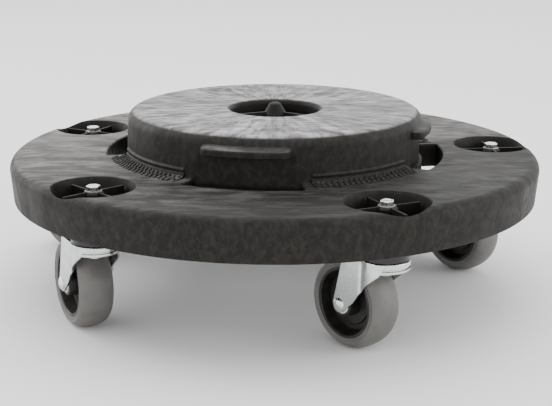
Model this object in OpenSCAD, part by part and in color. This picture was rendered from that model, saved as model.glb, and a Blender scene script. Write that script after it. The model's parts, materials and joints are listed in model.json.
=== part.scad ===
// Round dolly on five swivel casters, for a round container that drops over the
// raised drum and turns under its lugs. Millimetres, +Z up, the floor at Z = 0 and
// the origin on the deck's axis. +X points to the deck's right, -Y to its front.

/* [Deck] */
// Outer diameter of the deck
deck_d = 464; // [460:1:480]
// Height of the deck's top face above the floor
deck_top = 125.4; // [125:0.1:127]
// Depth of the skirt, from the top face to its bottom edge
skirt_h = 35.4; // [35.4:0.1:36]
// How far the skirt narrows towards its bottom edge, on the radius
skirt_draft = 2.5; // [0:0.1:2.5]
// Radius of the rounded edge between the top face and the skirt
deck_round = 8.4; // [6:0.1:10]
// Wall thickness of the moulding
wall = 4; // [3.5:0.1:4.5]

/* [Drum] */
// Diameter of the raised drum where it meets the deck
drum_d = 261; // [258:0.2:262]
// Height of the drum's top face above the floor
drum_top = 163.4; // [162:0.1:166]
// How far the drum narrows towards its top, on the radius
drum_draft = 1.2; // [0:0.1:2]
// Radius of the drum's rounded top edge
drum_round = 8.8; // [6:0.1:10]
// Diameter of the hole in the middle of the drum
hole_d = 77; // [70:0.5:80]
// Radius of the rounded rim of the hole
hole_round = 4.5; // [2:0.1:5]
// Depth of the collar below the hole
collar_h = 12; // [10:0.5:14]
// Height of the tip of the centre post above the floor
post_top = 168.3; // [166:0.1:172]

/* [Slots, lugs and ramps] */
// Width of the four slots round the drum
slot_w = 18.2; // [18:0.1:19]
// Half of the angle that each slot spans
slot_half = 21; // [18:0.5:22]
// Direction of the front slot's middle
slot_at = 259.5; // [255:0.5:265]
// Depth of the wall that hangs from a slot's edge, from the top face
slot_wall_h = 20.5; // [15:0.5:22]
// Half of the angle that each lug spans
lug_half = 16.5; // [12:0.5:17]
// How far a lug stands out from the drum
lug_reach = 7.2; // [6:0.1:9]
// Height of a lug's underside above the floor
lug_under = 147.5; // [145:0.5:149]
// Height of a ramp's inner edge above the top face
ramp_rise = 7; // [5:0.5:8]

/* [Caster pockets] */
// Diameter of the circle through the five mounting bolts
bolt_circle_d = 396.4; // [396:0.2:398]
// Direction of the first bolt
first_bolt_at = 7.55; // [0:0.05:12]
// Diameter of a pocket at its rim
pocket_d = 67.2; // [64:0.2:68]
// Diameter of the straight part of a pocket
pocket_well_d = 57; // [54:0.5:58]

/* [Casters] */
// Wheel diameter
wheel_d = 76.4; // [74:0.2:76.6]
// Width of the tyre
tyre_w = 30; // [26:0.5:30]
// Distance from the swivel axis to the axle
trail = 31.8; // [30:0.1:33]
// Inside width of the fork
fork_gap = 33; // [32.6:0.1:34]
// Thickness of the fork's sheet
fork_t = 2.2; // [2:0.1:2.6]
// Diameter of the fork's crown
crown_d = 39; // [38:0.5:40]
// Where each caster trails at rest, as the direction from its bolt to its wheel
trail_at = [131, 160, 138, 117, 131];

/* [Hidden] */
$fn = 64;
CASTERS = [1:5];
FIXED_NODES = ["deck_moulding", "mounting_bolts", "mounting_washers", "mounting_nuts"];
CASTER_NODES = ["top_cap", "kingpin", "fork", "upper_balls", "lower_balls", "axle_bolt",
    "axle_nut", "axle_sleeve", "wheel_core", "tyre", "wheel_bush"];

deck_r = deck_d / 2;
skirt_bottom = deck_top - skirt_h;
drum_r = drum_d / 2;
drum_upper_r = drum_r - drum_draft;
hole_r = hole_d / 2;
slot_r = drum_r + slot_w;
slot_corner = 7;
slot_wall_t = 3;
slot_pitch = 90;
lug_slots = [0, 1, 2];
ramp_half = 45 - slot_half - 0.8;
rib_t = 2.6;
under_rib_h = 14;
bolt_circle_r = bolt_circle_d / 2;
well_r = pocket_well_d / 2;
pocket_r = pocket_d / 2;
floor_t = 4;
flare = 10;
mount_z = skirt_bottom + 0.4;
pocket_h = deck_top - mount_z;
cup_t = 1.6;

bolt_d = 6.35;
bolt_hole_d = 6.9;
head_af = 10.2;
head_h = 4.2;
washer_d = 14;
washer_t = 1.4;
boss_r = 8.6;
boss_top = deck_top - 4.7;
pocket_rib_top = deck_top - 3.6;

wheel_r = wheel_d / 2;
crown_t = 2.4;
crown_bottom = wheel_d + 1.6;
crown_top = crown_bottom + crown_t;
apron_bottom = crown_top - 8.6;
cap_r = crown_d / 2 - 0.2;
cap_plate_t = 2.2;
cap_gap = 0.6;
kingpin_d = 11;
kingpin_hole_d = 11.2;
kingpin_flange_r = 9.5;
kingpin_flange_t = 2;
kingpin_bottom = 72.2;
nut_h = 5;
upper_ball_d = 7;
upper_ball_circle_r = 12.9;
upper_ball_n = 11;
lower_ball_d = 3.4;
lower_ball_circle_r = 7.6;
lower_ball_n = 12;
ball_play = 0.15;
axle_d = 8;
axle_head_d = 10.8;
axle_head_h = 2.6;
axle_nut_h = 4;
axle_nut_af = 13;
sleeve_d = 12;
bush_hole_d = 12.1;
bush_d = 16;
rim_r = 28.8;
rim_half = 13.5;
leg_tip_r = 6.8;

function arc(centre, r, from, to, steps = 5) =
    [for (k = [0:steps])
        let (a = from + (to - from) * k / steps) centre + r * [cos(a), sin(a)]];
function bolt_at(i) = first_bolt_at + 72 * (i - 1);

module at_bolts() {
    for (i = CASTERS) rotate([0, 0, bolt_at(i)]) translate([bolt_circle_r, 0, 0]) children();
}

module at_caster(i) {
    rotate([0, 0, bolt_at(i)]) translate([bolt_circle_r, 0, 0])
        rotate([0, 0, trail_at[i - 1] - bolt_at(i)]) children();
}

module at_wheel(i) {
    at_caster(i) translate([trail, 0, wheel_r]) rotate([-90, 0, 0]) children();
}

// Part of a ring round the deck's axis, its section drawn as radius and height.
module sector(middle, half) {
    rotate([0, 0, middle - half]) rotate_extrude(angle = 2 * half, $fn = 128) children();
}

module tube(outer_r, inner_r, bottom, top) {
    translate([0, 0, bottom]) difference() {
        cylinder(r = outer_r, h = top - bottom);
        translate([0, 0, -1]) cylinder(r = inner_r, h = top - bottom + 2);
    }
}

// ---- deck moulding ----

module shell() {
    deck_arc = [deck_r - deck_round, deck_top - deck_round];
    drum_arc = [drum_upper_r - drum_round, drum_top - drum_round];
    rim_arc = [hole_r + hole_round, drum_top - hole_round];
    rotate_extrude($fn = 128) polygon(concat(
        [[deck_r - skirt_draft, skirt_bottom]],
        arc(deck_arc, deck_round, 0, 90),
        [[drum_r, deck_top]],
        arc(drum_arc, drum_round, 0, 90),
        arc(rim_arc, hole_round, 90, 180),
        [[hole_r, drum_top - collar_h], [hole_r + wall, drum_top - collar_h],
            [hole_r + wall, drum_top - wall]],
        arc(drum_arc, drum_round - wall, 90, 0, 3),
        [[drum_r - wall, deck_top - wall]],
        arc(deck_arc, deck_round - wall, 90, 0, 3),
        [[deck_r - skirt_draft - wall, skirt_bottom]]));
}

// The slot's outline with round outer corners, grown by a margin.
module slot_shape(middle, margin, bottom, top) {
    outer = slot_r + margin;
    corner_r = slot_corner + margin;
    half = slot_half + asin(margin / outer);
    corner_half = half - asin(corner_r / (outer - corner_r));
    corner = (outer - corner_r) * [cos(corner_half), sin(corner_half)];
    rotate([0, 0, middle]) translate([0, 0, bottom]) linear_extrude(height = top - bottom)
        polygon(concat(
            arc([0, 0], drum_r - 0.2 - margin, half, -half, 12),
            arc([corner[0], -corner[1]], corner_r, -half - 90, -corner_half),
            arc([0, 0], outer, -corner_half, corner_half, 12),
            arc(corner, corner_r, corner_half, half + 90)));
}

module slot_walls() {
    bottom = deck_top - slot_wall_h;
    for (k = [0:3])
        slot_shape(slot_at + k * slot_pitch, slot_wall_t, bottom, deck_top - 1);
}

module slot_cuts() {
    for (k = [0:3])
        slot_shape(slot_at + k * slot_pitch, 0, skirt_bottom, lug_under - 1);
}

// The drum's wall is set back under each lug, to let the container's rib turn in.
module lug_recess(k) {
    sector(slot_at + k * slot_pitch, slot_half - 1)
        translate([drum_r - 3, deck_top - wall - 1])
            square([6, lug_under - deck_top + wall + 1.6]);
}

module recess_liner() {
    tube(drum_r - 2, drum_r - 7, deck_top - wall, lug_under + 3);
}

module lug(k) {
    tip = drum_r + lug_reach;
    sector(slot_at + k * slot_pitch, lug_half)
        polygon([[drum_r - 3.5, lug_under], [tip - 0.8, lug_under], [tip, lug_under + 0.8],
            [tip, lug_under + 4.6], [tip - 1.6, lug_under + 6.6],
            [drum_upper_r - 1, drum_top - 3.4], [drum_r - 3.5, drum_top - 5]]);
}

module ramp(k) {
    middle = slot_at + (k + 0.5) * slot_pitch;
    top = deck_top + ramp_rise;
    lip = top + 1.6;
    sector(middle, ramp_half)
        polygon([[drum_r - 3, deck_top - 2], [drum_r - 3, top], [drum_r + 1.5, top],
            [slot_r - 1.6, deck_top + 0.4], [slot_r - 1.6, deck_top - 2]]);
    sector(middle, ramp_half)
        polygon([[drum_r - 3, lip], [drum_r + 0.8, lip], [drum_r + 1.2, lip + 1],
            [drum_r + 0.4, lip + 2.2], [drum_r - 3, lip + 3]]);
}

// Three webs carry a pointed post in the middle of the drum's hole.
module centre_post() {
    web_top = drum_top - 3;
    web_bottom = drum_top - collar_h;
    rotate_extrude() polygon(concat(
        [[0, web_bottom], [10.6, web_bottom], [10.6, web_top - 2.4], [8.4, web_top + 1.2],
            [6.6, web_top + 4]],
        [for (a = [0:30:90]) [5.6 * cos(a), web_top + 5.4 + (post_top - web_top - 5.4) * sin(a)]]));
    for (a = [85, 205, 325])
        rotate([0, 0, a]) translate([8, -rib_t / 2, web_bottom])
            cube([hole_r - 6, rib_t, web_top - web_bottom]);
}

module drum_ribs() {
    for (a = [0:45:315])
        rotate([0, 0, a + 14]) translate([hole_r + 2, -rib_t / 2, drum_top - wall - under_rib_h])
            cube([drum_r - 5 - hole_r - 2, rib_t, under_rib_h + 1]);
    tube(86, 83, drum_top - wall - under_rib_h, drum_top - wall + 1);
}

// Ribs that run out under the deck, between the pockets and in to each pocket.
module deck_ribs() {
    h = slot_wall_h - wall;
    bottom = deck_top - wall + 1 - h;
    tube(slot_r + slot_wall_t + 1.2, slot_r + 1.2, bottom, deck_top - wall + 1);
    for (i = CASTERS) {
        for (a = [24, 36, 48])
            rotate([0, 0, bolt_at(i) + a]) translate([slot_r + 2.2, -rib_t / 2, bottom])
                cube([deck_r - wall - slot_r - 3, rib_t, h]);
        rotate([0, 0, bolt_at(i)]) translate([slot_r + 2.2, -rib_t / 2, bottom])
            cube([bolt_circle_r - well_r - slot_r - 2.7, rib_t, h]);
    }
}

module pocket_cup() {
    rotate([0, 0, 90]) cylinder(r = well_r + cup_t, h = pocket_h - 2);
}

// A collar that carries the cup's wall out round the flared mouth.
module pocket_collars() {
    intersection() {
        at_bolts() translate([0, 0, deck_top - flare - 3.5])
            cylinder(r = pocket_r + 2, h = flare);
        translate([0, 0, mount_z]) cylinder(r = deck_r - 2.2, h = pocket_h, $fn = 128);
    }
}

module pocket_cut() {
    past = 1;
    mouth_r = well_r + (pocket_r - well_r) * (flare + past) / flare;
    rotate_extrude() polygon([[0, floor_t], [well_r, floor_t], [well_r, pocket_h - flare],
        [mouth_r, pocket_h + past], [0, pocket_h + past]]);
}

module pocket_inside() {
    rib_h = pocket_rib_top - mount_z - floor_t + 1;
    difference() {
        union() {
            cylinder(r = boss_r, h = boss_top - mount_z);
            for (a = [0, 90])
                rotate([0, 0, a]) translate([-well_r - 1, -rib_t / 2, floor_t - 1])
                    cube([2 * well_r + 2, rib_t, rib_h]);
        }
        translate([0, 0, boss_top - mount_z]) cylinder(r = boss_r + 0.4, h = pocket_h);
    }
}

module deck_moulding() {
    color("#3b3937") difference() {
        union() {
            difference() {
                union() {
                    shell();
                    slot_walls();
                    recess_liner();
                    deck_ribs();
                    at_bolts() translate([0, 0, mount_z]) pocket_cup();
                    pocket_collars();
                    for (k = [0:3]) ramp(k);
                }
                slot_cuts();
                for (k = lug_slots) lug_recess(k);
                at_bolts() translate([0, 0, mount_z]) pocket_cut();
            }
            for (k = lug_slots) lug(k);
            drum_ribs();
            centre_post();
            at_bolts() translate([0, 0, mount_z]) pocket_inside();
        }
        at_bolts() translate([0, 0, mount_z - 1]) cylinder(d = bolt_hole_d, h = pocket_h + 1);
    }
}

// ---- fasteners through the deck and the kingpins ----

module mounting_bolts() {
    shank_bottom = kingpin_bottom - nut_h - 0.8;
    head_bottom = boss_top + washer_t;
    color("#d9dcdc") at_bolts() {
        translate([0, 0, head_bottom]) cylinder(r = head_af / 2 / cos(30), h = head_h, $fn = 6);
        translate([0, 0, shank_bottom]) cylinder(d = bolt_d, h = head_bottom - shank_bottom + 1);
    }
}

module mounting_washers() {
    color("#c9cccc") at_bolts() tube(washer_d / 2, bolt_d / 2 + 0.1, boss_top, boss_top + washer_t);
}

module mounting_nuts() {
    color("#c9cccc") at_bolts() translate([0, 0, kingpin_bottom - nut_h]) difference() {
        cylinder(r = head_af / 2 / cos(30), h = nut_h, $fn = 6);
        translate([0, 0, -1]) cylinder(d = bolt_d, h = nut_h + 2);
    }
}

// ---- caster: the swivel head ----

module top_cap(i) {
    bottom = crown_top + cap_gap;
    color("#26272a") at_caster(i) rotate_extrude() polygon(concat(
        [[cap_r - 1.8, bottom], [cap_r, bottom]],
        arc([cap_r - 3, mount_z - 3], 3, 0, 90, 4),
        [[kingpin_d / 2, mount_z], [kingpin_d / 2, mount_z - cap_plate_t],
            [cap_r - 1.8, mount_z - cap_plate_t]]));
}

module kingpin(i) {
    color("#c4c8c8") at_caster(i) difference() {
        union() {
            translate([0, 0, kingpin_bottom]) cylinder(d = kingpin_d, h = mount_z - kingpin_bottom);
            translate([0, 0, kingpin_bottom]) cylinder(r = kingpin_flange_r, h = kingpin_flange_t);
        }
        translate([0, 0, kingpin_bottom - 1])
            cylinder(d = bolt_hole_d, h = mount_z - kingpin_bottom + 2);
    }
}

module ball_ring(n, circle_r, d, z) {
    for (k = [0:n - 1])
        rotate([0, 0, 360 * k / n]) translate([circle_r, 0, z]) sphere(d = d, $fn = 32);
}

module upper_balls(i) {
    z = crown_top + 0.05 + upper_ball_d / 2;
    color("#e6e8e8") at_caster(i)
        ball_ring(upper_ball_n, upper_ball_circle_r, upper_ball_d, z);
}

module lower_balls(i) {
    z = kingpin_bottom + kingpin_flange_t + ball_play + lower_ball_d / 2;
    color("#e6e8e8") at_caster(i)
        ball_ring(lower_ball_n, lower_ball_circle_r, lower_ball_d, z);
}

// ---- caster: the fork, drawn with the axle towards +X of the swivel axis ----

module leg() {
    rotate([90, 0, 0]) linear_extrude(height = fork_t) polygon(concat(
        [[-10, crown_top - 1.2], [-10, apron_bottom + 0.6], [-6.5, 67.4], [4.5, 58.4],
            [16, 43.4]],
        arc([trail, wheel_r], leg_tip_r, 212, 375, 8),
        [[trail - 1.8, 73], [trail - 2.8, crown_top - 1.2], [trail - 4, crown_top]],
        [[-8.8, crown_top]]));
}

// The crown's front wall, with a groove between its two rolled bands.
module apron() {
    r = crown_d / 2;
    rotate([0, 0, 90]) rotate_extrude(angle = 180) polygon([
        [r - fork_t, apron_bottom + 0.6], [r - 1, apron_bottom], [r, apron_bottom + 0.8],
        [r, apron_bottom + 3], [r - 0.7, apron_bottom + 3.5], [r, apron_bottom + 4],
        [r, crown_top - 0.8], [r - 0.8, crown_top], [r - fork_t, crown_top]]);
}

module fork(i) {
    half = fork_gap / 2;
    color("#d3d8d6") at_caster(i) difference() {
        union() {
            translate([0, 0, crown_bottom]) cylinder(d = crown_d, h = crown_t);
            translate([-8.8, -half - fork_t, crown_bottom])
                cube([trail + 4.8, fork_gap + 2 * fork_t, crown_t]);
            apron();
            translate([0, -half, 0]) leg();
            translate([0, half + fork_t, 0]) leg();
        }
        translate([0, 0, crown_bottom - 1]) cylinder(d = kingpin_hole_d, h = crown_t + 2);
        translate([trail, half + fork_t + 1, wheel_r]) rotate([90, 0, 0])
            cylinder(d = axle_d, h = fork_gap + 2 * fork_t + 2);
    }
}

// ---- caster: the wheel and its axle, drawn along Z and laid on the axle line ----

module axle_bolt(i) {
    face = fork_gap / 2 + fork_t;
    color("#cfd3d3") at_wheel(i) {
        translate([0, 0, -face - axle_nut_h - 1])
            cylinder(d = axle_d, h = 2 * face + axle_nut_h + 1.5);
        translate([0, 0, face]) rotate_extrude() polygon([[0, 0], [axle_head_d / 2, 0],
            [axle_head_d / 2, 0.9], [axle_head_d / 2 - 0.9, 1.9], [2.4, axle_head_h],
            [0, axle_head_h]]);
    }
}

module axle_nut(i) {
    face = fork_gap / 2 + fork_t;
    color("#cfd3d3") at_wheel(i) translate([0, 0, -face - axle_nut_h]) difference() {
        cylinder(r = axle_nut_af / 2 / cos(30), h = axle_nut_h, $fn = 6);
        translate([0, 0, -1]) cylinder(d = axle_d, h = axle_nut_h + 2);
    }
}

module axle_sleeve(i) {
    half = fork_gap / 2;
    color("#b9bdbd") at_wheel(i) tube(sleeve_d / 2, axle_d / 2, -half, half);
}

module wheel_bush(i) {
    half = fork_gap / 2 - 0.5;
    color("#e8e6de") at_wheel(i) tube(bush_d / 2, bush_hole_d / 2, -half, half);
}

module wheel_core(i) {
    hub_half = fork_gap / 2 - 0.9;
    color("#1d1d1e") at_wheel(i) difference() {
        rotate_extrude() polygon([[0, -hub_half], [10.5, -hub_half], [11.5, -3], [24.5, -3],
            [25.8, -rim_half], [rim_r, -rim_half], [rim_r, rim_half], [25.8, rim_half],
            [24.5, 3], [11.5, 3], [10.5, hub_half], [0, hub_half]]);
        translate([0, 0, -fork_gap / 2]) cylinder(d = bush_d, h = fork_gap);
    }
}

module tyre(i) {
    side_r = 27 + 3.6;
    half = tyre_w / 2;
    color("#8a8682") at_wheel(i) rotate_extrude() polygon(concat(
        [[rim_r, -rim_half], [side_r, -half + 0.2]],
        [for (a = [-75:15:75]) let (s = sin(a), c = cos(a))
            [side_r + (wheel_r - side_r) * c, half * s]],
        [[side_r, half - 0.2], [rim_r, rim_half]]));
}

deck_moulding();
mounting_bolts();
mounting_washers();
mounting_nuts();
for (i = CASTERS) {
    top_cap(i);
    kingpin(i);
    fork(i);
    upper_balls(i);
    lower_balls(i);
    axle_bolt(i);
    axle_nut(i);
    axle_sleeve(i);
    wheel_core(i);
    tyre(i);
    wheel_bush(i);
}
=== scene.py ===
# %% [markdown]
# # A round container dolly on five swivel casters
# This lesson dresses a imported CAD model. The model brings the places, the joints and the sizes, and every
# piece here is made around it. Shapes are drawn in millimetres, as on a workshop drawing, and turned into
# metres when they become an object. Load the frame first, because all the places come from it.

# %% Load the frame
import json
import math
import random
import bmesh
import bpy
from mathutils import Matrix, Vector


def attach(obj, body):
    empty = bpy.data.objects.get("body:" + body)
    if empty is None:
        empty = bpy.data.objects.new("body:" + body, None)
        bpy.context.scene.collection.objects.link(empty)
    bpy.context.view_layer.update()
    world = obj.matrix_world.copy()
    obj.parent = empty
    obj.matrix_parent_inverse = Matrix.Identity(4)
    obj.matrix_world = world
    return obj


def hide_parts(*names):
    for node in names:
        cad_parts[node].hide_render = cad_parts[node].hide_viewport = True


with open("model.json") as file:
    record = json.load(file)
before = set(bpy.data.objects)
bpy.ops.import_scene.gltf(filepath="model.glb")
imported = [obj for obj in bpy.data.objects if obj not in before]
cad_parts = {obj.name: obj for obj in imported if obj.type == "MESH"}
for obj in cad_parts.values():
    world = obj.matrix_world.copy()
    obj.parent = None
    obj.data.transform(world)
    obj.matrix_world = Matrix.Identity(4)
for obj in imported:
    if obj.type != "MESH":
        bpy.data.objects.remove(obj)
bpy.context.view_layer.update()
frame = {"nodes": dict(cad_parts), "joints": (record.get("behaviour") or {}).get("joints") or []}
nodes = frame["nodes"]
joints = {joint["name"]: joint for joint in frame["joints"]}
CASTERS = range(1, 6)
MM = 0.001

# %% [markdown]
# ## The camera
# A product picture is taken from a little above the deck with a long lens, so that circles stay calm
# ellipses. The camera is placed at a given point and aimed with a track quaternion, then rolled by a hair.

# %% Camera
LENS_MM = 87.06
EYE = Vector((0.0, -1.1611, 0.3847))
AIM = Vector((0.0012, 0.0, 0.0760))
ROLL = math.radians(0.2)
camera_data = bpy.data.cameras.new("camera")
camera_data.lens = LENS_MM
camera_data.sensor_width = 36
camera = bpy.data.objects.new("camera", camera_data)
camera.location = EYE
aim_turn = (AIM - EYE).to_track_quat("-Z", "Y")
camera.rotation_euler = (aim_turn.to_matrix() @ Matrix.Rotation(ROLL, 3, "Z")).to_euler()
bpy.context.scene.collection.objects.link(camera)
bpy.context.scene.camera = camera
print("camera at", tuple(round(v, 3) for v in camera.location))

# %% [markdown]
# ## Drawing helpers
# Most of the moulding is round, so it is drawn the way a lathe works: a section in radius and height that
# bmesh spins round the upright axis. A ring closes on itself, a solid of revolution starts and ends on
# the axis, and a sector is spun only part of the way, which keeps its two end faces.

# %% Sections and spins
DECK_STEPS = 240


def arc(centre, radius, start, end, steps=6):
    """Points along part of a circle in the section, angles in degrees."""
    turns = [math.radians(start + (end - start) * k / steps) for k in range(steps + 1)]
    return [(centre[0] + radius * math.cos(t), centre[1] + radius * math.sin(t)) for t in turns]


def close_up(bm):
    """Welds the seams of a spin and turns every face outwards."""
    bmesh.ops.remove_doubles(bm, verts=bm.verts, dist=0.005)
    bmesh.ops.dissolve_degenerate(bm, edges=bm.edges, dist=0.002)
    bmesh.ops.recalc_face_normals(bm, faces=bm.faces)
    return bm


def spun(points, steps=DECK_STEPS, closed=True):
    """A section spun all the way round the upright axis."""
    bm = bmesh.new()
    corners = [bm.verts.new((r, 0, z)) for r, z in points]
    pairs = list(zip(corners, corners[1:])) + ([(corners[-1], corners[0])] if closed else [])
    edges = [bm.edges.new(pair) for pair in pairs]
    bmesh.ops.spin(bm, geom=corners + edges, cent=(0, 0, 0), axis=(0, 0, 1), dvec=(0, 0, 0),
                   angle=math.tau, steps=steps, use_merge=True, use_duplicate=False)
    return close_up(bm)


def sector(points, middle, half, steps=32):
    """A section spun from middle - half to middle + half degrees, closed at both ends."""
    bm = bmesh.new()
    face = bm.faces.new([bm.verts.new((r, 0, z)) for r, z in points])
    start = Matrix.Rotation(math.radians(middle - half), 3, "Z")
    bmesh.ops.rotate(bm, verts=bm.verts, cent=(0, 0, 0), matrix=start)
    bmesh.ops.spin(bm, geom=[face] + face.edges[:] + face.verts[:], cent=(0, 0, 0), axis=(0, 0, 1),
                   dvec=(0, 0, 0), angle=math.radians(2 * half), steps=steps, use_merge=False,
                   use_duplicate=False)
    return close_up(bm)


def box(low, high):
    """A box between two corners."""
    bm = bmesh.new()
    size = Vector(high) - Vector(low)
    bmesh.ops.create_cube(bm, size=1.0)
    bmesh.ops.scale(bm, vec=size, verts=bm.verts)
    bmesh.ops.translate(bm, vec=(Vector(high) + Vector(low)) / 2, verts=bm.verts)
    return bm


def rounded(bm, edges, offset, segments=3):
    """Bevels some edges to a round."""
    bmesh.ops.bevel(bm, geom=list(edges), offset=offset, offset_type="OFFSET", affect="EDGES",
                    segments=segments, profile=0.5, material=-1, clamp_overlap=True)
    return bm


print("helpers ready, a full turn takes", DECK_STEPS, "steps")


# %% Joining and finishing meshes
def copied(bm, turns):
    """The same shape at several places, in one bmesh."""
    out = bmesh.new()
    mesh = bpy.data.meshes.new("copy")
    bm.to_mesh(mesh)
    bm.free()
    for turn in turns:
        known = len(out.verts)
        out.from_mesh(mesh)
        out.verts.ensure_lookup_table()
        bmesh.ops.transform(out, matrix=turn, verts=out.verts[known:])
    bpy.data.meshes.remove(mesh)
    return out


def turned(angle, where=(0, 0, 0)):
    """A place given on the X axis, turned round the upright axis by some degrees."""
    return Matrix.Rotation(math.radians(angle), 4, "Z") @ Matrix.Translation(where)


def to_object(name, bm):
    """A mesh object in metres from a bmesh in millimetres, which is used up."""
    bmesh.ops.scale(bm, vec=(MM, MM, MM), verts=bm.verts)
    mesh = bpy.data.meshes.new(name)
    bm.to_mesh(mesh)
    bm.free()
    piece = bpy.data.objects.new(name, mesh)
    bpy.context.scene.collection.objects.link(piece)
    return piece


def carved(piece, steps):
    """Adds and takes away shapes, in turn. Each step is ("UNION" or "DIFFERENCE", bmesh)."""
    tools = []
    for count, (how, bm) in enumerate(steps):
        tool = to_object(f"{piece.name}.tool{count}", bm)
        change = piece.modifiers.new(tool.name, "BOOLEAN")
        change.operation = how
        change.object = tool
        change.solver = "MANIFOLD"
        tools.append(tool)
    apply_modifiers(piece)
    for tool in tools:
        bpy.data.objects.remove(tool)
    return piece


def apply_modifiers(piece):
    """Swaps the mesh for what its modifiers make of it."""
    graph = bpy.context.evaluated_depsgraph_get()
    graph.update()
    done = bpy.data.meshes.new_from_object(piece.evaluated_get(graph))
    piece.modifiers.clear()
    piece.data = done
    return piece


def shaded(piece, sharp_angle=32):
    """Smooth faces that stay crisp past an angle, with normals that follow the larger faces."""
    bm = bmesh.new()
    bm.from_mesh(piece.data)
    bmesh.ops.remove_doubles(bm, verts=bm.verts, dist=0.00001)
    for face in bm.faces:
        face.smooth = True
    bm.to_mesh(piece.data)
    bm.free()
    piece.data.set_sharp_from_angle(angle=math.radians(sharp_angle))
    even = piece.modifiers.new("even_normals", "WEIGHTED_NORMAL")
    even.keep_sharp = True
    return piece


def counted(piece):
    """Prints the size of a mesh."""
    print(piece.name, "has", len(piece.data.vertices), "vertices and", len(piece.data.polygons), "faces")
    return piece


print("joining and finishing helpers ready")

# %% [markdown]
# ## The deck moulding
# One piece of recycled plastic makes the skirt, the deck, the raised drum and everything on them. It
# starts as one spun section with a wall about 4 mm thick. Booleans then add the ramps and the ribs, and
# cut the slots and the caster pockets, much as a toolmaker cuts a mould: each cutter has the soft rim
# that the finished edge shows, so no bevel has to find its way over the cuts afterwards.

# %% Sizes of the moulding, in millimetres
DECK_R = 232.0
DECK_TOP = 125.4
SKIRT_BOTTOM = 90.0
SKIRT_DRAFT = 2.5
DECK_ROUND = 8.4
WALL = 4.0
DRUM_R = 130.5
DRUM_UPPER_R = 129.3
DRUM_TOP = 163.4
DRUM_ROUND = 8.8
HOLE_R = 38.5
HOLE_ROUND = 4.5
COLLAR = 12.0
FOOT_ROUND = 2.0

deck_arc = (DECK_R - DECK_ROUND, DECK_TOP - DECK_ROUND)
drum_arc = (DRUM_UPPER_R - DRUM_ROUND, DRUM_TOP - DRUM_ROUND)
hole_arc = (HOLE_R + HOLE_ROUND, DRUM_TOP - HOLE_ROUND)
shell_section = (
    [(DECK_R - SKIRT_DRAFT - 0.6, SKIRT_BOTTOM), (DECK_R - SKIRT_DRAFT, SKIRT_BOTTOM + 0.6)]
    + arc(deck_arc, DECK_ROUND, 0, 90, 8)
    + [(r, DECK_TOP) for r in (205, 180, 155)]
    + arc((DRUM_R + FOOT_ROUND, DECK_TOP + FOOT_ROUND), FOOT_ROUND, 270, 182, 3)
    + arc(drum_arc, DRUM_ROUND, 0, 90, 8)
    + [(r, DRUM_TOP) for r in (95, 70)]
    + arc(hole_arc, HOLE_ROUND, 90, 180, 6)
    + [(HOLE_R, DRUM_TOP - COLLAR), (HOLE_R + WALL, DRUM_TOP - COLLAR)]
    + [(HOLE_R + WALL, DRUM_TOP - WALL)]
    + arc(drum_arc, DRUM_ROUND - WALL, 90, 0, 4)
    + [(DRUM_R - WALL, DECK_TOP - WALL)]
    + arc(deck_arc, DECK_ROUND - WALL, 90, 0, 4)
    + [(DECK_R - SKIRT_DRAFT - WALL, SKIRT_BOTTOM)])
deck = to_object("deck_shell", spun(shell_section))
counted(deck)

# %% [markdown]
# ### Slots, lugs and ramps
# A container's foot drops into the four slots and turns under the lugs. Between the slots, a ramp with a
# raised lip and small grip studs leads up to the drum. They are all sectors, spun from small sections. The
# slots' upright corners are bevelled before they cut the shell, and the lugs and the recesses under them
# run out softly at both ends, because their outer points are pulled in towards the drum.

# %% Slots
SLOT_AT = 259.5
SLOT_HALF = 20.0
SLOT_R = 148.7
SLOT_WALL_H = 20.5
SLOT_CORNER = 7.0
SLOT_WALL_T = 3.0
SLOT_RIM = 0.9
RECESS = 3.0
RECESS_LOW = 120.4
RECESS_HIGH = 148.1
RECESS_RUN_OUT = 4.4
QUARTERS = [SLOT_AT + 90 * k for k in range(4)]
LUG_SLOTS = QUARTERS[:3]


def upright_corners(bm, radius):
    """The upright corner edges near one radius."""
    return [e for e in bm.edges
            if abs(e.verts[0].co.z - e.verts[1].co.z) > 2
            and all(abs(v.co.xy.length - radius) < 0.5 for v in e.verts)
            and e.calc_face_angle(0) > 1]


def slot_block(middle, margin, inner, low, high):
    """The slot's shape with round outer corners, grown by a margin."""
    outer = SLOT_R + margin
    half = SLOT_HALF + math.degrees(margin / outer)
    block = sector([(inner, low), (outer, low), (outer, high), (inner, high)], middle, half)
    return rounded(block, upright_corners(block, outer), SLOT_CORNER + margin, 6)


def together(shapes):
    """Several shapes that don't touch, as one bmesh."""
    out = bmesh.new()
    mesh = bpy.data.meshes.new("group")
    for bm in shapes:
        bm.to_mesh(mesh)
        bm.free()
        out.from_mesh(mesh)
    bpy.data.meshes.remove(mesh)
    return out


slot_walls = together([
    slot_block(q, SLOT_WALL_T, DRUM_R - 3.2, DECK_TOP - SLOT_WALL_H, DECK_TOP - 1) for q in QUARTERS])
slot_holes = together([slot_block(q, 0, DRUM_R - 0.2, 70, 146.5) for q in QUARTERS])
slot_rims = together([
    slot_block(q, SLOT_RIM, DRUM_R + 0.3, DECK_TOP - 0.5, DECK_TOP + 6) for q in QUARTERS])
print("slots ready at", QUARTERS)


# %% Recesses under the lugs
def off_middle(point, middle):
    """The signed angle from a direction to a point, in degrees."""
    return (math.degrees(math.atan2(point.y, point.x)) - middle + 180) % 360 - 180


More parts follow.
